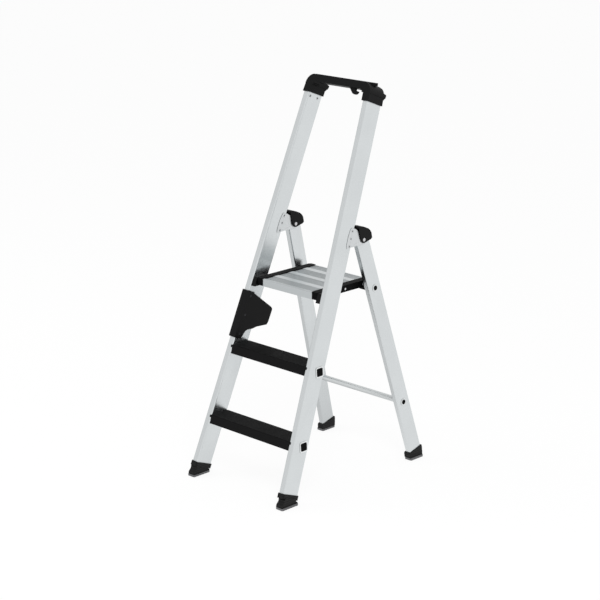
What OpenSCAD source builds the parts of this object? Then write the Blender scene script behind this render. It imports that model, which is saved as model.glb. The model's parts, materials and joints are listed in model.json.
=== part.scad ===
// Folding platform step stool: two leaning front rails with two treads and a handle bridge,
// a rear frame that swings in below the bridge, and a platform that tips up from its rear axle.
// Lengths are millimetres. The ladder stands on z = 0 and faces -Y.

/* [Stance] */
// Overall height to the top of the handle bridge
total_h = 1340; // [1320:5:1360]
// Lean of the front rails from upright, in degrees
lean = 20.95; // [20.5:0.05:21.5]
// Inner half width between the front rails at the floor
foot_half = 200.5; // [199.5:0.5:202]
// Inward slope of each front rail, in degrees
rail_taper = 3.25; // [3.1:0.05:3.3]
// Height of the platform's top face
deck_z = 670; // [668:1:672]

/* [Front rails] */
// Width of a rail across the ladder
rail_w = 24.5; // [24:0.5:26]
// Depth of a rail
rail_d = 68; // [66:1:70]
// Wall of a rail
rail_wall = 2; // [1.6:0.2:2.4]
// Corner radius of a rail
rail_r = 4; // [3:0.5:5]

/* [Rungs and treads] */
// Side of the square rung tube
rung_a = 30; // [28:1:31]
// Wall of the rung tube
rung_wall = 2; // [1.6:0.2:2.2]
// Height of the first rung's centre, along the rails
rung_s1 = 219; // [214:1:224]
// Distance between the rungs, along the rails
rung_pitch = 250; // [245:1:255]
// Distance of the rung centres behind the rails' front faces
rung_v = 45; // [44:1:47]
// Depth of a tread from front to back
tread_d = 82; // [78:1:84]
// Number of grip ribs on a tread
tread_ribs = 11; // [6:1:12]

/* [Rear frame] */
// Distance of the hinge pins behind the front foot line
hinge_y = 445; // [443:1:447]
// Height of the hinge pins
hinge_z = 824.5; // [822:0.5:827]
// Distance from the middle to a leg's centre at the hinge
hinge_half = 160; // [159.5:0.1:160.5]
// Distance of the rear foot line behind the front foot line
rear_foot_y = 681.5; // [675:0.5:688]
// Outward slope of each rear leg, in degrees
leg_splay = 3.5; // [3.4:0.05:3.6]
// Width of a rear leg across the ladder
leg_w = 21; // [20:0.5:21.5]
// Depth of a rear leg
leg_d = 57.5; // [56:0.5:59]
// Distance of the cross bar below the hinge, along the leg
bar_t = 630; // [600:5:660]
// Radius of the cross bar and of the platform axle
tube_r = 10; // [9:0.5:10.5]

/* [Platform] */
// Half width of the platform over its side caps
platform_half = 142.5; // [141:0.5:142.5]
// Half width of the bare deck between its side caps
deck_half = 116.5; // [112:0.5:118]
// Distance of the deck's front edge behind the front foot line
deck_y0 = 259; // [258:0.5:260]
// Distance of the deck's rear edge behind the front foot line
deck_y1 = 516; // [514:1:518]
// Distance of the platform axle behind the front foot line
axle_y = 496.6; // [495:0.2:498]
// Height of the platform axle
axle_z = 648.7; // [648:0.1:650]

/* [Hidden] */
$fn = 48;
gap = 0.3;
run = 0.05;
big = 2000;

// Footprint
front_sole_y0 = 4;
front_sole_y1 = 79;
rear_sole_y0 = 641;
rear_sole_y1 = 706;
mid_y = (front_sole_y0 + rear_sole_y1) / 2;
sole_h = 7;

// Lengths along the rails
rail_s0 = 42;
bridge_proud = 3;
bridge_top = (total_h - bridge_proud * sin(lean)) / cos(lean);
bridge_low = bridge_top - 63;
rail_s1 = bridge_top - 24;
bar_low = bridge_top - 26;
bridge_bar_v = 30;
bridge_plate_v = 40;
bridge_plate_tilt = 8.7;
bridge_plate_h = 10;
bridge_back = rail_d + bridge_proud;
bridge_rivet_v = [11.5, 48.5];
bridge_rivet_s = bridge_low - 10;

// The hinge pin seen in the rails' own frame
hinge_v = hinge_y * cos(lean) - hinge_z * sin(lean);
hinge_s = hinge_y * sin(lean) + hinge_z * cos(lean);
leg_tilt = atan((rear_foot_y - hinge_y) / hinge_z);
leg_t0 = -22;
leg_t1 = 838;
pin_r = 5;
plate = 1.5;
plate_r = 15;

// Hinge rivets, along the rails
rivet_v = 57.5;
rivet_s = [for (i = [-1, 0, 1]) hinge_s - 9 + 26 * i];

// Side cap of the platform
cap_low = deck_z - 21.5;
cap_top = deck_z + 1.5;
nose_low = deck_z - 24.5;
nose_y = 11;
deck_low = deck_z - 21;
skin = 3;
peg_r = 6;
peg_y = deck_y0 - 1.5 + nose_y + gap + peg_r;
peg_z = cap_low - 1.5;
lug_r = 15;
deck_rivet_y = [for (i = [-1, 0, 1]) 393 + 87 * i];

// ---- frames -------------------------------------------------------------------------------

// The standing frame: y runs back from the front foot line, side -1 is the ladder's left
module stand(side = 1) {
    translate([0, -mid_y, 0])
        mirror([side < 0 ? 1 : 0, 0, 0])
            children();
}

// The rails' plane: y is the depth behind their front faces, z runs up the slope
module slope(side = 1) {
    stand(side) rotate([-lean, 0, 0]) children();
}

// One rail's own frame: x runs outwards from its inner face
module on_rail(side = 1) {
    slope(side) translate([foot_half, 0, 0]) rotate([0, -rail_taper, 0]) children();
}

// One rear leg's own frame: z runs up the leg from the hinge, x and y are across its centre
module on_leg(side = 1) {
    stand(side) translate([hinge_half, hinge_y, hinge_z])
        rotate([leg_tilt, 0, 0]) rotate([0, -leg_splay, 0]) children();
}

// ---- shapes -------------------------------------------------------------------------------

// Rectangle with round corners, from the origin
module round_rect(w, d, r) {
    translate([r, 0]) square([w - 2 * r, d]);
    translate([0, r]) square([w, d - 2 * r]);
    for (x = [r, w - r], y = [r, d - r]) translate([x, y]) circle(r);
}

// The same, centred
module round_rect_c(w, d, r) {
    translate([-w / 2, -d / 2]) round_rect(w, d, r);
}

// Hollow section with round outer corners
module section(w, d, r, wall) {
    difference() {
        round_rect(w, d, r);
        translate([wall, wall]) round_rect(w - 2 * wall, d - 2 * wall, max(r - wall, 0.5));
    }
}

// Bar along x with the section drawn in y and z
module along_x(x0, x1) {
    translate([x0, 0, 0]) rotate([90, 0, 90]) linear_extrude(x1 - x0) children();
}

// Round bar along x, centred on y and z
module rod(r, x0, x1, y, z) {
    translate([x0, y, z]) rotate([0, 90, 0]) cylinder(r = r, h = x1 - x0);
}

// Domed rivet head or screw head on a face that looks along +x
module head(r, h) {
    rotate([0, 90, 0]) rotate_extrude() polygon([[0, 0], [r, 0], [r * 0.92, h * 0.45], [r * 0.6, h], [0, h]]);
}

// Touching point of a line from p to a circle, above it (side 1) or below it (side -1)
function tangent(p, c, r, side) =
    let (dx = c.x - p.x, dy = c.y - p.y, a = atan2(dy, dx) + side * asin(r / norm([dx, dy])) + side * 90)
    [c.x + r * cos(a), c.y + r * sin(a)];

// Level square across the ladder at a rung: children are drawn in y and z about its centre
module at_rung(s) {
    slope() translate([0, rung_v, s]) rotate([lean, 0, 0]) children();
}

// ---- front rails --------------------------------------------------------------------------

module rung_hole(s, extra) {
    at_rung(s) along_x(-big, big) round_rect_c(rung_a + extra, rung_a + extra, 4 + extra / 2);
}

module hinge_rivet_holes(side) {
    for (s = rivet_s) on_rail(side) rod(2.6, -5, rail_w + 5, rivet_v, s);
}

module rail(side) {
    color("gainsboro") difference() {
        on_rail(side) translate([0, 0, rail_s0])
            linear_extrude(rail_s1 - rail_s0) section(rail_w, rail_d, rail_r, rail_wall);
        for (i = [0, 1]) rung_hole(rung_s1 + i * rung_pitch, 0.2);
        hinge_rivet_holes(side);
        for (v = bridge_rivet_v) on_rail(side) rod(2.6, -5, rail_wall + 5, v, bridge_rivet_s);
        rest_screw_holes(side, 2.1);
        if (side < 0) grip_screw_holes(2.1);
    }
}

module left_rail() { rail(-1); }
module right_rail() { rail(1); }

// ---- rungs --------------------------------------------------------------------------------

collar_t = 1.4;

// Leaves only what lies between the rails' outer faces, moved out by more
module between_rails(more) {
    difference() {
        children();
        for (side = [-1, 1]) on_rail(side)
            translate([rail_w + more, -big / 2, -big / 2]) cube([big, big, 2 * big]);
    }
}

// Distance along a rail's own axis of a point on its outer face, s up the slope
function rail_s(s) = (s - rail_w * sin(rail_taper)) / cos(rail_taper);

// Flared collar of a rung on a rail's outer face
module rung_collar(side, s) {
    on_rail(side) translate([rail_w, rung_v, rail_s(s)]) rotate([lean, 0, 0]) along_x(0, collar_t)
        difference() {
            round_rect_c(rung_a + 6, rung_a + 6, 7);
            round_rect_c(rung_a - rung_wall, rung_a - rung_wall, 3.5);
        }
}

module rung(s) {
    color("silver") {
        between_rails(collar_t) at_rung(s) along_x(-260, 260) difference() {
            round_rect_c(rung_a, rung_a, 4);
            round_rect_c(rung_a - 2 * rung_wall, rung_a - 2 * rung_wall, 2.5);
        }
        for (side = [-1, 1]) rung_collar(side, s);
    }
}

module lower_rung() { rung(rung_s1); }
module upper_rung() { rung(rung_s1 + rung_pitch); }

module rung_plugs() {
    a = rung_a - 2 * rung_wall - 0.8;
    color("black") for (side = [-1, 1], i = [0, 1])
        on_rail(side) translate([rail_w, rung_v, rail_s(rung_s1 + i * rung_pitch)])
            rotate([lean, 0, 0]) {
                along_x(-5, collar_t + 1) round_rect_c(a, a, 3.5);
                along_x(collar_t, collar_t + 1) round_rect_c(a + 1.6, a + 1.6, 4);
            }
}

// ---- treads -------------------------------------------------------------------------------

tread_top = rung_a / 2 + 8;
tread_front = -46;
tread_back = tread_front + tread_d;
lip_low = -8;

// Side outline of a tread about the rung's centre, open below to clip over the rung
module tread_outline() {
    c = rung_a / 2;
    polygon([
        [tread_front, lip_low], [tread_front + 3.5, tread_top - 3], [tread_front + 6, tread_top - 1],
        [tread_back - 2, tread_top - 1], [tread_back, tread_top - 3], [tread_back, tread_top - 15],
        [tread_back - 3, tread_top - 15], [tread_back - 3, tread_top - 5], [c + 3.2, tread_top - 5],
        [c + 3.2, -c - 3], [c - 3, -c - 3], [c - 3, -c - 0.2], [c + 0.2, -c - 0.2],
        [c + 0.2, c + 0.2], [-c - 0.2, c + 0.2], [-c - 0.2, -c - 0.2], [-c + 3, -c - 0.2],
        [-c + 3, -c - 3], [-c - 3.2, -c - 3], [-c - 3.2, tread_top - 5],
        [tread_front + 7, tread_top - 5], [tread_front + 4.6, lip_low]
    ]);
}

module tread_ribs_outline() {
    step = (tread_d - 12) / tread_ribs;
    for (i = [0 : tread_ribs - 1])
        translate([tread_front + 7 + i * step, tread_top - 1.2]) square([step * 0.55, 1.2]);
}

// Everything between the rails' inner faces, less a small gap
module inside_rails(less) {
    difference() {
        children();
        for (side = [-1, 1]) on_rail(side)
            translate([-less, -big / 2, -big / 2]) cube([big, big, 2 * big]);
    }
}

// Everything in front of the rails' front faces, out to their inner edges and a little over them
module before_rails(over) {
    intersection() {
        inside_rails(-over) children();
        slope() translate([-big / 2, -big - gap, -big / 2]) cube([big, big, 2 * big]);
    }
}

module tread(s) {
    color("dimgray") {
        inside_rails(gap) at_rung(s) along_x(-250, 250) {
            tread_outline();
            tread_ribs_outline();
        }
        before_rails(6) at_rung(s) along_x(-250, 250)
            polygon([[tread_front, lip_low], [tread_front + 3.5, tread_top - 3],
                [tread_front + 6, tread_top - 1], [tread_front + 22, tread_top - 1],
                [tread_front + 4.6, lip_low]]);
    }
}

module lower_tread() { tread(rung_s1); }
module upper_tread() { tread(rung_s1 + rung_pitch); }

// ---- handle bridge ------------------------------------------------------------------------

// Corner radius of the bridge seen from the front
bridge_r = 36;

// Outer half width of the bridge at a height along the slope
function bridge_out(s) = foot_half + (rail_w + bridge_proud) / cos(rail_taper) - s * tan(rail_taper);
function bridge_in(s) = foot_half - bridge_proud / cos(rail_taper) - s * tan(rail_taper);

// Front outline of one half of the bridge
module bridge_front_half() {
    top_out = bridge_out(bridge_top);
    corner_in = bridge_in(bar_low) - 15;
    difference() {
        union() {
            polygon([
                [0, bar_low], [0, bridge_top + 6], [top_out - bridge_r, bridge_top + 6],
                [top_out - bridge_r, bridge_top], [top_out, bridge_top - bridge_r],
                [bridge_out(bridge_low), bridge_low], [bridge_in(bridge_low), bridge_low],
                [bridge_in(bar_low), bar_low - 5], [corner_in + 2, bar_low - 5], [corner_in - 1, bar_low]
            ]);
            translate([top_out - bridge_r, bridge_top - bridge_r]) intersection() {
                translate([0.9, 0]) circle(bridge_r);
                square([bridge_r + 1, bridge_r]);
            }
        }
        translate([-1, bar_low - 170]) square([corner_in, 170]);
    }
}

module bridge_front() {
    bridge_front_half();
    mirror([1, 0]) bridge_front_half();
}

// Side outline of a socket with its sloping top and rear lug
module socket_side() {
    rise = (bridge_plate_v + bridge_proud) * tan(bridge_plate_tilt);
    polygon([
        [-bridge_proud, bridge_low], [-bridge_proud, bridge_top - 0.5],
        [bridge_plate_v - 2, bridge_top + rise - 5], [bridge_plate_v, bridge_top - 1],
        [bridge_back - 5, bridge_top - 2], [bridge_back, bridge_top - 7], [bridge_back, bridge_top - 20],
        [bridge_back + 10, bridge_top - 22], [bridge_back + 12, bridge_top - 24],
        [bridge_back + 9, bridge_top - 34], [bridge_back, bridge_top - 45], [bridge_back, bridge_low]
    ]);
}

// Flat plate on top of the bridge, wider at the back than at the front
module bridge_plate() {
    front_half = 104;
    back_half = 138;
    slope() translate([0, -bridge_proud, bridge_top]) rotate([bridge_plate_tilt, 0, 0])
        translate([0, 0, -bridge_plate_h]) linear_extrude(bridge_plate_h) polygon([
            [-front_half, 2], [-front_half + 4, 0], [front_half - 4, 0], [front_half, 2],
            [back_half - 14, 17], [back_half - 4, 30], [back_half, 40], [back_half - 3, 43],
            [3 - back_half, 43], [-back_half, 40], [4 - back_half, 30], [14 - back_half, 17]
        ]);
}

// Hook under the bar for a bucket or a bag
hook_x = 46;
hook_v0 = 5;
hook_v1 = 13;
hook_slot = 9;
module hook_outline() {
    arm = bar_low - hook_slot;
    difference() {
        polygon([
            [hook_x, bar_low + 1], [hook_x + 6, bar_low - 5], [hook_x + 17, arm - 7],
            [hook_x + 21, arm - 10.2], [hook_x + 26, arm - 11.5], [hook_x + 33, arm - 11.3],
            [hook_x + 38.5, arm - 9], [hook_x + 41, arm - 5.5], [hook_x + 42.5, arm - 1],
            [hook_x + 41, arm], [hook_x + 30, arm], [hook_x + 30, bar_low + 1]
        ]);
        translate([hook_x + 34, arm + hook_slot / 2]) circle(hook_slot / 2);
    }
}

module handle_bridge() {
    color("black") difference() {
        union() {
            intersection() {
                slope() rotate([90, 0, 0]) translate([0, 0, -120]) linear_extrude(140) bridge_front();
                slope() along_x(-200, 200) socket_side();
            }
            bridge_plate();
            slope() translate([0, hook_v1, 0]) rotate([90, 0, 0])
                linear_extrude(hook_v1 - hook_v0) hook_outline();
        }
        // the bar is only as deep as the hand needs, and the plate stands out behind it
        slope() translate([-(bridge_in(bar_low) - 2), bridge_bar_v, bar_low - 60])
            cube([2 * (bridge_in(bar_low) - 2), 100, 60 + bridge_top - bar_low - 3]);
        slope() translate([-(bridge_in(bar_low) - 2), bridge_plate_v - 0.5, bar_low - 60])
            cube([2 * (bridge_in(bar_low) - 2), 100, 200]);
        // pockets for the rail ends
        for (side = [-1, 1]) on_rail(side) translate([-0.1, -0.1, 0])
            linear_extrude(rail_s1 + 0.2) round_rect(rail_w + 0.2, rail_d + 0.2, rail_r);
    }
}

// Blind rivets through the rails' inner walls
module bridge_rivets() {
    color("silver") for (side = [-1, 1], v = bridge_rivet_v)
        on_rail(side) translate([0, v, bridge_rivet_s]) {
            rod(2.5, 0, rail_wall + 4, 0, 0);
            mirror([1, 0, 0]) head(4.6, 1.4);
        }
}

// ---- carrying grip on the left rail -------------------------------------------------------

grip_s0 = 502;
grip_s1 = 670;
grip_t = 5;
grip_front = 6;
grip_screw_v = 12;
grip_screw_s = [for (i = [0, 1, 2]) grip_s0 + 16 + 67 * i];

module grip_screw_holes(r) {
    for (s = grip_screw_s) on_rail(-1) rod(r, -grip_t - 1, rail_wall + 2, grip_screw_v, s);
}

// Plate beside the rail, with a wing that reaches behind it
module grip_plate() {
    polygon([
        [-grip_front, grip_s0], [-grip_front, grip_s1 - 2], [-grip_front + 2, grip_s1], [12, grip_s1 - 2],
        [122, grip_s1 - 37], [129, grip_s1 - 41], [132, grip_s1 - 46], [131, grip_s1 - 90],
        [127, grip_s1 - 101], [81, grip_s1 - 116], [66, grip_s1 - 125], [41, grip_s1 - 133],
        [35, grip_s1 - 139], [28, grip_s0 + 11], [24, grip_s0 + 5]
    ]);
}

module carrying_grip() {
    color("black") difference() {
        on_rail(-1) {
            along_x(-grip_t, -0.05) grip_plate();
            translate([-grip_t, -grip_front, grip_s0])
                linear_extrude(grip_s1 - grip_s0 - 2) difference() {
                    round_rect(grip_t + rail_w + 3, grip_front + 26, 4);
                    translate([grip_t - 0.05, grip_front - 0.05]) round_rect(rail_w + 0.1, rail_d, rail_r);
                }
        }
        grip_screw_holes(2.1);
        for (s = grip_screw_s) on_rail(-1) rod(4.4, -grip_t - 1, -grip_t + 2, grip_screw_v, s);
    }
}

module grip_screws() {
    color("dimgray") for (s = grip_screw_s) on_rail(-1) {
        rod(2, -grip_t + 2, rail_wall + 1, grip_screw_v, s);
        difference() {
            rod(4.2, -grip_t + 0.6, -grip_t + 2, grip_screw_v, s);
            translate([-grip_t, grip_screw_v - 0.5, s - 2.5]) cube([1.2, 1, 5]);
            translate([-grip_t, grip_screw_v - 2.5, s - 0.5]) cube([1.2, 5, 1]);
        }
    }
}

// ---- hinges -------------------------------------------------------------------------------

module plate_outline() {
    c = [hinge_v, hinge_s];
    top = [rail_d + 2, hinge_s + 27];
    low = [48, hinge_s - 45];
    polygon([
        low, [44.5, hinge_s - 32], [44, hinge_s - 4], [47, hinge_s + 17], [51, hinge_s + 26], top,
        tangent(top, c, plate_r, 1), c, tangent(low, c, plate_r, -1)
    ]);
    translate(c) circle(plate_r);
}

module hinge_bracket(side) {
    color("lightgray") difference() {
        on_rail(side) {
            along_x(rail_w, rail_w + plate) plate_outline();
            along_x(-plate, 0) plate_outline();
            translate([-plate, rail_d, hinge_s - 34]) cube([rail_w + 2 * plate, plate, 55]);
        }
        hinge_rivet_holes(side);
        stand(side) rod(pin_r + run, 100, 220, hinge_y, hinge_z);
    }
}

module left_hinge_bracket() { hinge_bracket(-1); }
module right_hinge_bracket() { hinge_bracket(1); }

module hinge_rivets() {
    color("silver") for (side = [-1, 1], s = rivet_s)
        on_rail(side) translate([0, rivet_v, s]) {
            rod(2.5, -plate, rail_w + plate, 0, 0);
            translate([rail_w + plate, 0, 0]) head(4.4, 1.2);
            translate([-plate, 0, 0]) mirror([1, 0, 0]) head(4.2, 0.8);
        }
}

module hinge_pins() {
    color("silver") for (side = [-1, 1]) stand(side) {
        rod(pin_r, cap_x0, cap_x1, hinge_y, hinge_z);
        translate([cap_x1, hinge_y, hinge_z]) head(6.2, 1.6);
        translate([cap_x0, hinge_y, hinge_z]) mirror([1, 0, 0]) head(6.2, 1);
    }
}

// ---- platform rests on the front rails ----------------------------------------------------

rest_v0 = 2;
rest_v1 = 44;

rest_z0 = 640;
rest_z1 = 670;
rest_screw_v = [13, 34];

// Height along the rail of a rest screw
function rest_s(v) = ((rest_z0 + rest_z1) / 2 + v * sin(lean)) / cos(lean);

module rest_screw_holes(side, r) {
    for (v = rest_screw_v) on_rail(side) rod(r, -30, rail_wall + 3, v, rest_s(v));
}

module platform_rest(side) {
    color("black") difference() {
        union() {
            difference() {
                intersection() {
                    on_rail(side) translate([-40, rest_v0, rest_z0]) cube([39.95, rest_v1 - rest_v0, 120]);
                    translate([-big / 2, -big / 2, rest_z0]) cube([big, big, rest_z1 - rest_z0]);
                }
                stand(side) translate([-big + platform_half + gap + 0.2, -big / 2, -1]) cube([big, big, big]);
            }
            stand(side) rod(peg_r, 120, platform_half + 14, peg_y, peg_z);
        }
        rest_screw_holes(side, 2.1);
        for (v = rest_screw_v) on_rail(side) rod(4, -30, -6, v, rest_s(v));
    }
}

module left_platform_rest() { platform_rest(-1); }
module right_platform_rest() { platform_rest(1); }

module rest_screws() {
    color("silver") for (side = [-1, 1], v = rest_screw_v) on_rail(side) {
        rod(2, -6, rail_wall + 2, v, rest_s(v));
        rod(3.8, -8, -6, v, rest_s(v));
    }
}

// ---- front shoes --------------------------------------------------------------------------

// Side outline of the foot under a shoe's collar
module front_foot_outline() {
    polygon([
        [front_sole_y0 + 1, sole_h], [front_sole_y0 + 2, 15], [16, 26], [17, 33], [24, 40],
        [70, 24], [71, 15], [front_sole_y1 - 2, 11], [front_sole_y1 - 1, sole_h]
    ]);
}

module front_shoe(side) {
    p = 3;
    color("black") difference() {
        union() {
            on_rail(side) translate([-p, -p - 0.5, rail_s0 - 2])
                linear_extrude(16) round_rect(rail_w + 2 * p, rail_d + 2 * p + 1, 6);
            on_rail(side) translate([rail_wall + 0.1, rail_wall + 0.1, rail_s0 - 4])
                linear_extrude(40)
                    round_rect(rail_w - 2 * rail_wall - 0.2, rail_d - 2 * rail_wall - 0.2, 1.8);
            stand(side) along_x(foot_half - 1.3, foot_half + rail_w + 1.7) front_foot_outline();
        }
        on_rail(side) translate([-0.1, -0.1, rail_s0]) linear_extrude(60)
            section(rail_w + 0.2, rail_d + 0.2, rail_r, rail_wall + 0.2);
    }
}

module left_front_shoe() { front_shoe(-1); }
module right_front_shoe() { front_shoe(1); }

// Rubber sole with shallow grooves across it
module sole(side, x0, x1, y0, y1) {
    color([0.15, 0.15, 0.15]) stand(side) difference() {
        translate([x0, y0, 0]) linear_extrude(sole_h) round_rect(x1 - x0, y1 - y0, 5);
        for (y = [y0 + 12 : 12 : y1 - 10]) translate([x0 - 1, y, -1]) cube([x1 - x0 + 2, 2.5, 2.5]);
    }
}

module left_front_sole() { sole(-1, foot_half - 3, foot_half + rail_w + 5, front_sole_y0, front_sole_y1); }
module right_front_sole() { sole(1, foot_half - 3, foot_half + rail_w + 5, front_sole_y0, front_sole_y1); }

// ---- rear frame ---------------------------------------------------------------------------

axle_t = (axle_y - hinge_y) * sin(leg_tilt) - (axle_z - hinge_z) * cos(leg_tilt);

// Point of a leg's centre line, t below the hinge
function leg_y(t, n = 0) = hinge_y + t * sin(leg_tilt) + n * cos(leg_tilt);
function leg_z(t, n = 0) = hinge_z - t * cos(leg_tilt) + n * sin(leg_tilt);

module leg_section() {
    translate([-leg_w / 2, -leg_d / 2]) section(leg_w, leg_d, 4, 1.8);
}

module rear_leg(side) {
    color("gainsboro") difference() {
        on_leg(side) translate([0, 0, -leg_t1]) linear_extrude(leg_t1 - leg_t0) leg_section();
        stand(side) rod(pin_r + 2.1, 100, 220, hinge_y, hinge_z);
        stand(side) rod(tube_r + 0.1, 100, 260, axle_y, axle_z);
        stand(side) rod(tube_r + 0.1, 100, 260, leg_y(bar_t), leg_z(bar_t));
    }
}

module left_rear_leg() { rear_leg(-1); }
module right_rear_leg() { rear_leg(1); }

// Sleeve between a leg's two walls, which turns on the hinge pin
module hinge_bushes() {
    color("white") for (side = [-1, 1]) stand(side) difference() {
        rod(pin_r + 2, hinge_half - leg_w / 2 - 0.9, hinge_half + leg_w / 2 + 0.9, hinge_y, hinge_z);
        rod(pin_r + run, 100, 220, hinge_y, hinge_z);
    }
}

cap_x0 = 141.6;
cap_x1 = 177.2;
cap_wall = 2;

// Side outline of a leg's top cap, about the hinge and in line with the leg
module leg_cap_outline() {
    polygon([
        [-13, 54], [-19, 50.5], [-19.5, 54], [-18, 57], [-14, 57.5], [12, 43], [29, 29], [36, 19],
        [39.5, 8], [38, -10], [30, -13], [20, -12], [8, -12], [-2, -11], [-9, -8], [-14, 0],
        [-15, 10], [-14, 34]
    ]);
}

// Inside of the cap: room for the leg and the bracket plates
module leg_cap_room() {
    polygon([
        [-40, -40], [60, -40], [60, -12.5], [36, -12.5], [37, 7], [33.5, 17.5], [27, 27], [10.5, 40.5],
        [-9, 51.2], [-40, 51.2]
    ]);
}

module leg_cap(side) {
    color("black") difference() {
        stand(side) translate([0, hinge_y, hinge_z]) rotate([leg_tilt, 0, 0])
            along_x(cap_x0, cap_x1) leg_cap_outline();
        stand(side) translate([0, hinge_y, hinge_z]) rotate([leg_tilt, 0, 0])
            along_x(cap_x0 + cap_wall, cap_x1 - cap_wall) leg_cap_room();
        stand(side) rod(6.5, 100, 220, hinge_y, hinge_z);
    }
}

module left_leg_cap() { leg_cap(-1); }
module right_leg_cap() { leg_cap(1); }

// Outer face of a rear leg, t below the hinge
function leg_out(t) = hinge_half + leg_w / 2 / cos(leg_splay) + t * tan(leg_splay);
function leg_in(t) = leg_out(t) - leg_w / cos(leg_splay);

// Tube across both legs with flared ends, at y and z
module cross_tube(y, z, t) {
    x1 = leg_out(t) + 0.7;
    color("silver") stand() difference() {
        union() {
            rod(tube_r, -x1, x1, y, z);
            for (side = [-1, 1]) on_tube_end(side, t, y, z) rod(tube_r + 3, 0, 1.2, 0, 0);
        }
        rod(tube_r - 2, -big, big, y, z);
    }
}

// Frame on a leg's outer face where a tube comes out
module on_tube_end(side, t, y, z) {
    mirror([side < 0 ? 1 : 0, 0, 0]) translate([leg_out(t), y, z]) rotate([leg_tilt, 0, 0])
        rotate([0, -leg_splay, 0]) children();
}

module tube_plugs(y, z, t) {
    color("black") for (side = [-1, 1]) stand() on_tube_end(side, t, y, z) {
        rod(tube_r - 2.6, -8, 1.2, 0, 0);
        translate([1.2, 0, 0]) head(tube_r - 1.5, 1.6);
    }
}

module cross_bar() { cross_tube(leg_y(bar_t), leg_z(bar_t), bar_t); }
module cross_bar_plugs() { tube_plugs(leg_y(bar_t), leg_z(bar_t), bar_t); }
module platform_axle() { cross_tube(axle_y, axle_z, axle_t); }
module axle_plugs() { tube_plugs(axle_y, axle_z, axle_t); }

// Rings on the axle that keep the platform in the middle
module axle_spacers() {
    color("black") for (side = [-1, 1]) stand(side) difference() {
        rod(tube_r + 4, platform_half + 0.4, leg_in(axle_t) - 1.2, axle_y, axle_z);
        rod(tube_r + 0.1, 100, 220, axle_y, axle_z);
    }
}

// ---- rear shoes ---------------------------------------------------------------------------

shoe_t = 822;

module rear_shoe_outline() {
    n = leg_d / 2 + 3;
    polygon([
        [rear_sole_y0 + 1, sole_h], [leg_y(shoe_t, -n) - 1, leg_z(shoe_t, -n) - 6],
        [leg_y(shoe_t, -n), leg_z(shoe_t, -n)], [leg_y(shoe_t, n), leg_z(shoe_t, n)],
        [leg_y(shoe_t, n) + 1.5, leg_z(shoe_t, n) - 8], [rear_sole_y1 - 1, sole_h]
    ]);
}

module rear_shoe(side) {
    color("black") difference() {
        union() {
            intersection() {
                stand(side) along_x(150, 260) rear_shoe_outline();
                on_leg(side) translate([-leg_w / 2 - 3, -80, -900]) cube([leg_w + 6, 160, 200]);
            }
            on_leg(side) translate([-leg_w / 2 + 1.9, -leg_d / 2 + 1.9, -leg_t1 - 1])
                linear_extrude(40) round_rect(leg_w - 3.8, leg_d - 3.8, 2);
        }
        on_leg(side) translate([0, 0, -leg_t1]) linear_extrude(80)
            translate([-leg_w / 2 - 0.05, -leg_d / 2 - 0.05]) section(leg_w + 0.1, leg_d + 0.1, 4, 1.9);
    }
}

module left_rear_shoe() { rear_shoe(-1); }
module right_rear_shoe() { rear_shoe(1); }

rear_sole_x = hinge_half + leg_z(0) / cos(leg_tilt) * tan(leg_splay);
module left_rear_sole() { sole(-1, rear_sole_x - 14, rear_sole_x + 17, rear_sole_y0, rear_sole_y1); }
module right_rear_sole() { sole(1, rear_sole_x - 14, rear_sole_x + 17, rear_sole_y0, rear_sole_y1); }

// ---- platform -----------------------------------------------------------------------------

ridge_w = 24;
ridge_y = [for (i = [0, 1, 2]) 319 + 70 * i];
flute = 4;

// Side outline of the deck: a skin with three flat ridges, fine flutes between, and edges turned down
module deck_outline() {
    y0 = deck_y0;
    y1 = deck_y1;
    difference() {
        translate([y0, deck_z - 1 - skin]) square([y1 - y0, skin]);
        for (y = [y0 + 10 : flute : y1 - 10])
            if (min([for (r = ridge_y) abs(y - r)]) > ridge_w / 2 + flute / 2)
                translate([y - 0.8, deck_z - 1.6]) square([1.6, 2]);
    }
    polygon([[y0, deck_z - 26], [y0, deck_z - 3], [y0 + 3, deck_z], [y0 + 7, deck_z], [y0 + 7, deck_z - 4],
        [y0 + 2.5, deck_z - 4], [y0 + 2.5, deck_z - 26]]);
    polygon([[y1, deck_low], [y1, deck_z - 2], [y1 - 2, deck_z], [y1 - 7, deck_z], [y1 - 7, deck_z - 4],
        [y1 - 2.5, deck_z - 4], [y1 - 2.5, deck_low]]);
    for (y = [y0 + 64, y0 + 130, y0 + 196]) {
        translate([y - 1.2, deck_low]) square([2.4, 19]);
        translate([y - 8, deck_low]) square([16, 2.4]);
    }
}

module platform_deck() {
    color("silver") difference() {
        union() {
            stand() along_x(-deck_half, deck_half) deck_outline();
            stand() for (y = ridge_y) translate([-deck_half + 2.5, y - ridge_w / 2, deck_z - 2])
                cube([2 * deck_half - 5, ridge_w, 2]);
            for (side = [-1, 1]) stand(side) translate([deck_half - skin, deck_y0 + 2, deck_low])
                cube([skin, deck_y1 - deck_y0 - 4, deck_z - 2 - deck_low]);
        }
        for (side = [-1, 1], y = deck_rivet_y)
            stand(side) rod(2.6, deck_half - 12, deck_half + 1, y, deck_z - 12);
        stand() rod(tube_r + 1, -deck_half - 1, deck_half + 1, axle_y, axle_z);
    }
}

// Plan outline of a side cap with rounded ends
module cap_plan() {
    y0 = deck_y0 - 1.5;
    y1 = deck_y1;
    w = platform_half - deck_half;
    translate([deck_half, y0]) {
        translate([0, 3]) square([w, y1 - y0 - 15]);
        translate([0, 0]) square([w - 3, 3]);
        translate([w - 3, 3]) circle(3);
        translate([0, y1 - y0 - 12]) square([w - 12, 12]);
        translate([w - 12, y1 - y0 - 12]) circle(12);
    }
}

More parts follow.
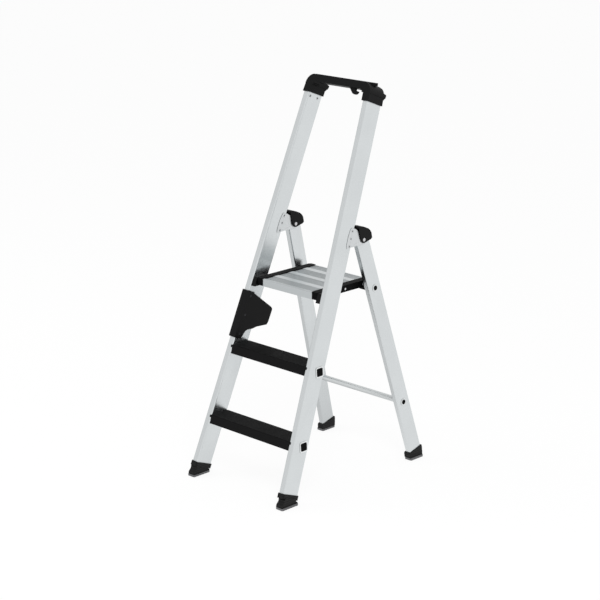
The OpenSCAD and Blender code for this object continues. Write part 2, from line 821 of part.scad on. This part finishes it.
module side_cap(side) {
    y0 = deck_y0 - 1.5;
    color("black") difference() {
        union() {
            stand(side) translate([0, 0, cap_low]) linear_extrude(cap_top - cap_low) cap_plan();
            // the nose drops in front of the rest's peg, which sits in a half-round notch
            stand(side) intersection() {
                translate([0, 0, nose_low]) linear_extrude(cap_top - nose_low) cap_plan();
                translate([deck_half, y0, nose_low]) cube([60, nose_y, 40]);
            }
            // the lug carries the axle
            stand(side) rod(lug_r, deck_half + 1, platform_half, axle_y, axle_z);
            // the inner lip laps over the deck's edge
            stand(side) translate([deck_half - 2, deck_y0 + 8, deck_z - 1])
                cube([3, deck_y1 - deck_y0 - 16, cap_top - deck_z + 1]);
        }
        stand(side) rod(tube_r + run, 100, 220, axle_y, axle_z);
        stand(side) rod(peg_r + gap, deck_half + 2, 220, peg_y, peg_z);
        for (y = deck_rivet_y) stand(side) {
            rod(2.6, deck_half - 1, platform_half + 1, y, deck_z - 12);
            rod(5, platform_half - 1.5, platform_half + 1, y, deck_z - 12);
        }
    }
}

module left_side_cap() { side_cap(-1); }
module right_side_cap() { side_cap(1); }

module deck_rivets() {
    color("silver") for (side = [-1, 1], y = deck_rivet_y) stand(side) translate([0, y, deck_z - 12]) {
        rod(2.5, deck_half - skin, platform_half - 1.5, 0, 0);
        translate([platform_half - 1.5, 0, 0]) head(4.6, 1.2);
    }
}

left_rail();
right_rail();
lower_rung();
upper_rung();
lower_tread();
upper_tread();
rung_plugs();
handle_bridge();
bridge_rivets();
carrying_grip();
grip_screws();
left_hinge_bracket();
right_hinge_bracket();
hinge_rivets();
hinge_pins();
left_platform_rest();
right_platform_rest();
rest_screws();
left_front_shoe();
right_front_shoe();
left_front_sole();
right_front_sole();
left_rear_leg();
right_rear_leg();
left_leg_cap();
right_leg_cap();
hinge_bushes();
cross_bar();
cross_bar_plugs();
platform_axle();
axle_plugs();
axle_spacers();
left_rear_shoe();
right_rear_shoe();
left_rear_sole();
right_rear_sole();
platform_deck();
left_side_cap();
right_side_cap();
deck_rivets();
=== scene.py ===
import json
import math

import bmesh
import bpy
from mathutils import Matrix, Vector


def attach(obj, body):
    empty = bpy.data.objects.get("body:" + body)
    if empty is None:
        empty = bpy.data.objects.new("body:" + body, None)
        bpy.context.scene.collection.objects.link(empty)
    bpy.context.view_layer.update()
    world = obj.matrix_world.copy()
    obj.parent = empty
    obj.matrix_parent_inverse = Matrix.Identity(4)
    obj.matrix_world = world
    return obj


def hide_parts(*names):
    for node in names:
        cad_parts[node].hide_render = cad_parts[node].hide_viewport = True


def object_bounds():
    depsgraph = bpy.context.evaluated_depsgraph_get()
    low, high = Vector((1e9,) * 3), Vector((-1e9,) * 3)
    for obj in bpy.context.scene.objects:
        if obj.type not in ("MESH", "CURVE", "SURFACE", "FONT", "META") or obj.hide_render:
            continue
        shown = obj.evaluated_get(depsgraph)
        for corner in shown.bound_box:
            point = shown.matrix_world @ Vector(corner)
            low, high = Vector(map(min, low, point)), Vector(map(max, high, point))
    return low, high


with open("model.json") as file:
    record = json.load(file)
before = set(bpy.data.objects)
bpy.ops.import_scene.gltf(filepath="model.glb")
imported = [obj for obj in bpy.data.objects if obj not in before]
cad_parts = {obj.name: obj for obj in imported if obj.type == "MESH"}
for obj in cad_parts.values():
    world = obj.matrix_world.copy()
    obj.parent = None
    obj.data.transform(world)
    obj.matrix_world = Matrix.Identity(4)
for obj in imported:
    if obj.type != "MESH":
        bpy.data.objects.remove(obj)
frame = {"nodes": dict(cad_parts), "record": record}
cad_low, cad_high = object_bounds()

slot_of = {s["node"]: s["material_slot"] for s in frame["record"]["subparts"]}
deck_top = next(m["pos_m"][2] for m in frame["record"]["mounts"] if m["name"] == "platform_top")

# What camera and lamps look at, from the middle of the stool
AIM_FROM_MIDDLE = Vector((0.0222, -0.0288, -0.0278))
aim = (cad_low + cad_high) / 2 + AIM_FROM_MIDDLE

# Camera: its place around the aim in degrees and metres, its lens in millimetres
CAMERA_AZIMUTH = 44.34
CAMERA_ELEVATION = 15.85
CAMERA_DISTANCE = 6.173
SENSOR_WIDTH = 36
LENS = 110.15
LENS_SHIFT = (-0.0099, -0.0156)
CLIP = (0.1, 60)

# Soft lamps, placed from the aim, and the even light of the room
LAMPS = {
    "key": {"place": Vector((2.6, -2.2, 3.2)), "size": 2.4, "watts": 60},
    "fill": {"place": Vector((-3.2, -2.4, 2.4)), "size": 3.0, "watts": 30},
}
ROOM_STRENGTH = 0.62

# Studio walls and floor as the metal sees them: middle, and change per unit of direction
WALL_MIDDLE = 0.94
WALL_ACROSS = 0.19
WALL_ALONG = -0.09
WALL_MOST = 1.0

FLOOR_HALF_SIZE = 14
FLOOR_GAP = 0.0005
FLOOR_COLOUR = (0.9, 0.9, 0.9)
# How much of the floor's look is an even glow; the rest takes the soft shadow
FLOOR_GLOW = 0.85
FLOOR_GLOW_STRENGTH = 1.045


# ---- shader nodes ----------------------------------------------------------------------------

def add_node(tree, kind, inputs=None, **settings):
    """A shader node. Each input is given a value, or the output of another node."""
    node = tree.nodes.new("ShaderNode" + kind)
    for key, value in settings.items():
        setattr(node, key, value)
    for key, given in (inputs or {}).items():
        if isinstance(given, bpy.types.NodeSocket):
            tree.links.new(given, node.inputs[key])
        else:
            node.inputs[key].default_value = given
    return node


def calculate(tree, operation, *values):
    inputs = dict(enumerate(values))
    return add_node(tree, "Math", inputs, operation=operation).outputs[0]


def mix_shaders(tree, share, first, second):
    return add_node(tree, "MixShader", {0: share, 1: first, 2: second}).outputs[0]


def object_coords(tree, scale=(1, 1, 1)):
    coords = add_node(tree, "TexCoord").outputs["Object"]
    return add_node(tree, "Mapping", {"Vector": coords, "Scale": scale}).outputs["Vector"]


def noise(tree, vector, scale, detail=3.0, rough=0.5):
    inputs = {"Vector": vector, "Scale": scale, "Detail": detail, "Roughness": rough}
    return add_node(tree, "TexNoise", inputs).outputs["Fac"]


def map_range(tree, value, low, high):
    return add_node(tree, "MapRange", {"Value": value, "To Min": low, "To Max": high}).outputs["Result"]


def two_colours(tree, value, low, high, first, second):
    """The first colour where value is at low, fading to the second at high."""
    node = add_node(tree, "ValToRGB", {"Fac": value})
    start, end = node.color_ramp.elements
    start.position, end.position = low, high
    start.color, end.color = (*first, 1), (*second, 1)
    return node.outputs["Color"]


def add_bump(tree, shader, height, strength, distance):
    node = add_node(tree, "Bump", {"Height": height, "Strength": strength, "Distance": distance})
    tree.links.new(node.outputs["Normal"], shader.inputs["Normal"])


def shaded_corners(tree, colour, darkest, reach=0.006):
    """The colour, darker in corners and joints where light hardly reaches."""
    corner = add_node(tree, "AmbientOcclusion", {"Distance": reach}, samples=8).outputs["AO"]
    inputs = {0: colour, 1: map_range(tree, corner, darkest, 1.0)}
    return add_node(tree, "VectorMath", inputs, operation="MULTIPLY").outputs["Vector"]


def new_material(name, colour, roughness, metallic=0.0, specular=0.5):
    mat = bpy.data.materials.new(name)
    mat.use_nodes = True
    shader = mat.node_tree.nodes["Principled BSDF"]
    shader.inputs["Base Color"].default_value = (*colour, 1)
    shader.inputs["Roughness"].default_value = roughness
    shader.inputs["Metallic"].default_value = metallic
    shader.inputs["Specular IOR Level"].default_value = specular
    return mat, mat.node_tree, shader


# ---- stage: camera, light, floor -------------------------------------------------------------

def stand_and_aim(name, data, place):
    """A camera or lamp at its place, turned to the aim."""
    obj = bpy.data.objects.new(name, data)
    obj.location = place
    obj.rotation_mode = "QUATERNION"
    obj.rotation_quaternion = (aim - place).to_track_quat("-Z", "Y")
    bpy.context.scene.collection.objects.link(obj)
    return obj


def make_camera():
    azimuth, elevation = math.radians(CAMERA_AZIMUTH), math.radians(CAMERA_ELEVATION)
    back = Vector((math.sin(azimuth) * math.cos(elevation),
                   -math.cos(azimuth) * math.cos(elevation),
                   math.sin(elevation)))
    data = bpy.data.cameras.new("camera")
    data.sensor_width = SENSOR_WIDTH
    data.lens = LENS
    data.shift_x, data.shift_y = LENS_SHIFT
    data.clip_start, data.clip_end = CLIP
    bpy.context.scene.camera = stand_and_aim("camera", data, aim + back * CAMERA_DISTANCE)


def soft_lamp(name, place, size, watts):
    data = bpy.data.lights.new(name, "AREA")
    data.shape = "DISK"
    data.size = size
    data.energy = watts
    lamp = stand_and_aim(name, data, aim + place)
    lamp.visible_camera = False
    lamp.visible_glossy = False


def room_brightness(tree, direction):
    """Brightness of the studio seen in the metal: brightest to the right and in front."""
    parts = add_node(tree, "SeparateXYZ", {0: direction})
    across = calculate(tree, "MULTIPLY_ADD", parts.outputs["X"], WALL_ACROSS, WALL_MIDDLE)
    along = calculate(tree, "MULTIPLY_ADD", parts.outputs["Y"], WALL_ALONG, across)
    return calculate(tree, "MINIMUM", along, WALL_MOST)


def make_light():
    world = bpy.data.worlds.new("studio")
    world.use_nodes = True
    bpy.context.scene.world = world
    tree = world.node_tree
    tree.nodes.clear()

    def white_light(strength):
        return add_node(tree, "Background", {"Color": (1, 1, 1, 1), "Strength": strength}).outputs[0]

    ray = add_node(tree, "LightPath").outputs
    direction = add_node(tree, "TexCoord").outputs["Generated"]
    in_metal = calculate(tree, "MAXIMUM", ray["Is Glossy Ray"], ray["Is Transmission Ray"])
    walls = white_light(room_brightness(tree, direction))
    room = mix_shaders(tree, in_metal, white_light(ROOM_STRENGTH), walls)
    surface = mix_shaders(tree, ray["Is Camera Ray"], room, white_light(1.0))
    add_node(tree, "OutputWorld", {"Surface": surface})
    for name, lamp in LAMPS.items():
        soft_lamp(name, **lamp)


def floor_material():
    mat, tree, shader = new_material("pale_floor", FLOOR_COLOUR, roughness=0.9, specular=0.0)
    plain = shader.outputs[0]
    ray = add_node(tree, "LightPath").outputs
    position = add_node(tree, "NewGeometry").outputs["Position"]
    away = add_node(tree, "VectorMath", {0: position}, operation="NORMALIZE").outputs["Vector"]
    seen = add_node(tree, "Emission", {"Strength": room_brightness(tree, away)}).outputs[0]
    glow = add_node(tree, "Emission", {"Strength": FLOOR_GLOW_STRENGTH}).outputs[0]
    shaded = mix_shaders(tree, FLOOR_GLOW, plain, glow)
    in_metal = mix_shaders(tree, ray["Is Glossy Ray"], plain, seen)
    surface = mix_shaders(tree, ray["Is Camera Ray"], in_metal, shaded)
    tree.links.new(surface, tree.nodes["Material Output"].inputs["Surface"])
    return mat


def make_floor():
    bm = bmesh.new()
    bmesh.ops.create_grid(bm, x_segments=1, y_segments=1, size=FLOOR_HALF_SIZE)
    mesh = bpy.data.meshes.new("floor")
    bm.to_mesh(mesh)
    bm.free()
    mesh.materials.append(floor_material())
    floor = bpy.data.objects.new("floor", mesh)
    floor.location.z = cad_low.z - FLOOR_GAP
    bpy.context.scene.collection.objects.link(floor)


# ---- materials -------------------------------------------------------------------------------

# How fast a streak changes along x, y and z; equal values give an even grain
UPRIGHT_STREAKS = (6, 6, 0.5)
CROSSWISE_STREAKS = (0.4, 6, 6)
SHEET_GRAIN = (4, 4, 4)
RIVET_GRAIN = (5, 5, 5)
STEEL_GRAIN = (8, 8, 8)
BLACK = (0.0026, 0.0026, 0.0028)
# The band below the deck's top in which the lighter ridge tops fade into the grooves' painted shade
RIDGE_FADE = (0.0008, 0.0002)
SHOE_RIB = 0.007


def clouded(tree, colour):
    """Wide patches of the colour, hardly darker here and there."""
    cloud = noise(tree, object_coords(tree), scale=9)
    darker = tuple(c * 0.96 for c in colour)
    return two_colours(tree, cloud, 0.3, 0.7, darker, colour)


def painted_ridge_light_and_groove_shade(tree, shaded_groove, lit_ridge):
    """Painted light on the deck: ridge tops brighter than the grooves between them, which take painted
    shade.
    """
    height = add_node(tree, "SeparateXYZ", {0: object_coords(tree)}).outputs["Z"]
    inputs = {"Value": height, "From Min": deck_top - RIDGE_FADE[0], "From Max": deck_top - RIDGE_FADE[1]}
    ridge_light_share = add_node(tree, "MapRange", inputs).outputs["Result"]
    return two_colours(tree, ridge_light_share, 0.0, 1.0, shaded_groove, lit_ridge)


def aluminium(name, colour, roughness, along, corner=0.55, shaded_groove=None):
    """Drawn aluminium: long faint streaks in the direction where along is small."""
    mat, tree, shader = new_material(name, colour, roughness, metallic=1.0)
    streak = noise(tree, object_coords(tree, along), scale=60, detail=4, rough=0.6)
    # On the deck, painted shade in the grooves below lighter ridge tops; elsewhere, patches of the
    # aluminium's own tone
    base = painted_ridge_light_and_groove_shade(tree, shaded_groove, colour) if shaded_groove else clouded(tree, colour)
    shine = map_range(tree, streak, roughness - 0.05, roughness + 0.06)
    tree.links.new(shaded_corners(tree, base, corner), shader.inputs["Base Color"])
    tree.links.new(shine, shader.inputs["Roughness"])
    add_bump(tree, shader, streak, strength=0.08, distance=0.0004)
    return mat


def level_ribs(tree, rib):
    """Level grip ribs, one every rib metres."""
    inputs = {"Vector": object_coords(tree), "Scale": math.pi / (10 * rib)}
    return add_node(tree, "TexWave", inputs, bands_direction="Z").outputs["Fac"]


def moulded(name, colour, roughness, grain=900, specular=0.2, rib=None):
    """Moulded plastic with a fine spark-eroded grain, or with grip ribs."""
    mat, tree, shader = new_material(name, colour, roughness, specular=specular)
    vector = object_coords(tree)
    cloud = noise(tree, vector, scale=14)
    lighter = tuple(c * 1.35 for c in colour)
    shine = map_range(tree, cloud, roughness - 0.05, roughness + 0.07)
    tree.links.new(two_colours(tree, cloud, 0.35, 0.75, colour, lighter), shader.inputs["Base Color"])
    tree.links.new(shine, shader.inputs["Roughness"])
    if rib:
        add_bump(tree, shader, level_ribs(tree, rib), strength=0.6, distance=0.0012)
    else:
        fine = noise(tree, vector, scale=grain, detail=2)
        add_bump(tree, shader, fine, strength=0.15, distance=0.0003)
    return mat


materials = {
    "frame_aluminium": aluminium("drawn_rail_aluminium", (0.685, 0.713, 0.722), 0.25, UPRIGHT_STREAKS),
    "tube_aluminium": aluminium("drawn_tube_aluminium", (0.73, 0.755, 0.76), 0.26,
                                CROSSWISE_STREAKS, corner=0.25),
    "bracket_aluminium": aluminium("bracket_sheet_aluminium", (0.68, 0.70, 0.71), 0.36,
                                   SHEET_GRAIN, corner=0.25),
    # The deck's groove colour is painted shade, darker than its ridge tops
    "deck_aluminium": aluminium("deck_aluminium", (0.76, 0.79, 0.80), 0.34,
                                CROSSWISE_STREAKS, corner=0.45, shaded_groove=(0.57, 0.60, 0.61)),
    "rivet_aluminium": aluminium("rivet_aluminium", (0.70, 0.72, 0.73), 0.3, RIVET_GRAIN, corner=0.15),
    "fastener_steel": aluminium("zinc_plated_steel", (0.60, 0.60, 0.61), 0.26, STEEL_GRAIN, corner=0.3),
    "tread_plastic": moulded("tread_plastic", (0.0028, 0.0028, 0.003), 0.5, specular=0.09),
    "black_plastic": moulded("black_moulded_plastic", BLACK, 0.45, specular=0.13),
    "bush_plastic": moulded("pale_bush_plastic", (0.6, 0.6, 0.57), 0.4),
    "sole_rubber": moulded("sole_rubber", (0.16, 0.16, 0.165), 0.75, grain=500),
}
matt_plastic = moulded("matt_moulded_plastic", (0.0022, 0.0022, 0.0024), 0.55, specular=0.05)
# Black steel: the grip screws' own colour, and painted shade on the rivet cores, standing for the dark
# hollow in each rivet head
black_steel_and_painted_core_shade = aluminium("blackened_steel_and_painted_core_shade", (0.06, 0.06, 0.065), 0.5, STEEL_GRAIN)

# Finishes of single pieces that differ from the rest of their slot, and the rungs' painted highlight, by
# the end of the node's name
OWN_FINISH_AND_PAINTED_LIGHT = {
    "_shoe": moulded("ribbed_shoe_plastic", BLACK, 0.5, rib=SHOE_RIB),
    # The rungs take a brighter copy of the tube aluminium: painted highlight for the light ring of their
    # collars
    "_rung": aluminium("collar_aluminium_painted_highlight", (0.84, 0.86, 0.865), 0.24, CROSSWISE_STREAKS, corner=0.2),
    "_side_cap": matt_plastic,
    "_plugs": matt_plastic,
    "grip_screws": black_steel_and_painted_core_shade,
}


# ---- CAD pieces ------------------------------------------------------------------------------

# How far apart two points of one seam may be, and from which bend in degrees an edge is rounded
SEAM = 0.000005
SHARP_EDGE = 32
# Edge rounding in metres, by the end of the node's name
EDGE_ROUNDING = {
    "handle_bridge": 0.0022,
    "_leg_cap": 0.002,
    "_side_cap": 0.0022,
    "carrying_grip": 0.002,
    "_platform_rest": 0.0012,
    "_shoe": 0.0012,
    "_sole": 0.0008,
    "_tread": 0.0006,
    "platform_deck": 0.0004,
    "_hinge_bracket": 0.0004,
    "_plugs": 0.0007,
}


def by_name_end(table, name):
    """The table's entry for a node, or None."""
    return next((value for end, value in table.items() if name.endswith(end)), None)


def round_edges(obj, width):
    """Joins the CAD mesh's seams and rounds its sharp edges inward."""
    weld = obj.modifiers.new("join_seams", "WELD")
    weld.merge_threshold = SEAM
    bevel = obj.modifiers.new("round_edges", "BEVEL")
    bevel.width = width
    bevel.segments = 3
    bevel.limit_method = "ANGLE"
    bevel.angle_limit = math.radians(SHARP_EDGE)
    bevel.use_clamp_overlap = True
    smooth = obj.modifiers.new("even_shading", "WEIGHTED_NORMAL")
    smooth.keep_sharp = False
    for face in obj.data.polygons:
        face.use_smooth = True


def dress_cad_nodes():
    for name, obj in frame["nodes"].items():
        obj.data.materials.clear()
        obj.data.materials.append(by_name_end(OWN_FINISH_AND_PAINTED_LIGHT, name) or materials[slot_of[name]])
        width = by_name_end(EDGE_ROUNDING, name)
        if width:
            round_edges(obj, width)


# ---- rivets ----------------------------------------------------------------------------------

HEAD_RADIUS = 0.0046
HEAD_HEIGHT = 0.0014
HEAD_RIM = 0.0004
SHANK_DEPTH = 0.002
# The steel core's radius as a share of the head's
CORE_SHARE = 0.56


def loose_parts(name):
    """(lowest, highest) corner of each separate solid in a CAD node."""
    bm = bmesh.new()
    bm.from_mesh(frame["nodes"][name].data)
    bmesh.ops.remove_doubles(bm, verts=bm.verts, dist=0.00001)
    left = set(bm.verts)
    found = []
    while left:
        reach = [left.pop()]
        part = []
        while reach:
            v = reach.pop()
            part.append(v.co.copy())
            for e in v.link_edges:
                other = e.other_vert(v)
                if other in left:
                    left.remove(other)
                    reach.append(other)
        low = Vector([min(c[i] for c in part) for i in range(3)])
        high = Vector([max(c[i] for c in part) for i in range(3)])
        found.append((low, high))
    bm.free()
    return found


def turned(bm, outline, middle, direction, steps=32):
    """Turns an outline of (along, radius) pairs about the x axis through middle."""
    verts = [bm.verts.new((middle.x + direction * a, middle.y, middle.z + r)) for a, r in outline]
    edges = [bm.edges.new(pair) for pair in zip(verts, verts[1:])]
    bmesh.ops.spin(bm, geom=verts + edges, cent=middle, axis=(1, 0, 0),
                   angle=math.tau, steps=steps, use_merge=True)


def finished(name, bm, body, material, stands_for=()):
    bmesh.ops.remove_doubles(bm, verts=bm.verts, dist=0.000001)
    bmesh.ops.recalc_face_normals(bm, faces=bm.faces)
    mesh = bpy.data.meshes.new(name)
    bm.to_mesh(mesh)
    bm.free()
    for face in mesh.polygons:
        face.use_smooth = True
    mesh.materials.append(material)
    obj = bpy.data.objects.new(name, mesh)
    bpy.context.scene.collection.objects.link(obj)
    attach(obj, body)
    for node in stands_for:
        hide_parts(node)


def head_outline(r, core):
    """A thin dome on a short shank, with a well for the core."""
    h = HEAD_HEIGHT
    return [(-SHANK_DEPTH, 0.0), (-SHANK_DEPTH, r * 0.5), (0.0, r * 0.5), (0.0, r),
            (h * 0.35, r * 0.97), (h * 0.8, r * 0.78), (h, core + HEAD_RIM),
            (h * 0.9, core), (h * 0.1, core), (h * 0.1, 0.0)]


def core_outline(core):
    """The broken-off end of the steel core, sunk below the dome."""
    h = HEAD_HEIGHT
    return [(0.0, 0.0), (0.0, core * 0.92), (h * 0.45, core * 0.86),
            (h * 0.55, core * 0.5), (h * 0.55, 0.0)]


def pop_rivets(name, node, inner_only=False):
    """Blind rivet heads on the ends of each CAD rivet, or only on the ends that face the middle."""
    heads, cores = bmesh.new(), bmesh.new()
    for low, high in loose_parts(node):
        middle = (low + high) / 2
        r = min(HEAD_RADIUS, (high.z - low.z) / 2)
        core = r * CORE_SHARE
        for direction, end in ((1, high.x), (-1, low.x)):
            if inner_only and direction * middle.x > 0:
                continue
            base = Vector((end - direction * HEAD_HEIGHT, middle.y, middle.z))
            turned(heads, head_outline(r, core), base, direction)
            turned(cores, core_outline(core), base, direction)
    finished(name, heads, "front_frame", materials["rivet_aluminium"], [node])
    # The cores are dark for painted shade in the middle of each rivet head
    finished(name + "_cores", cores, "front_frame", black_steel_and_painted_core_shade)


dress_cad_nodes()
pop_rivets("hinge_pop_rivets", "hinge_rivets")
pop_rivets("bridge_pop_rivets", "bridge_rivets", inner_only=True)
make_camera()
make_light()
make_floor()
bpy.context.scene.view_settings.view_transform = "Standard"
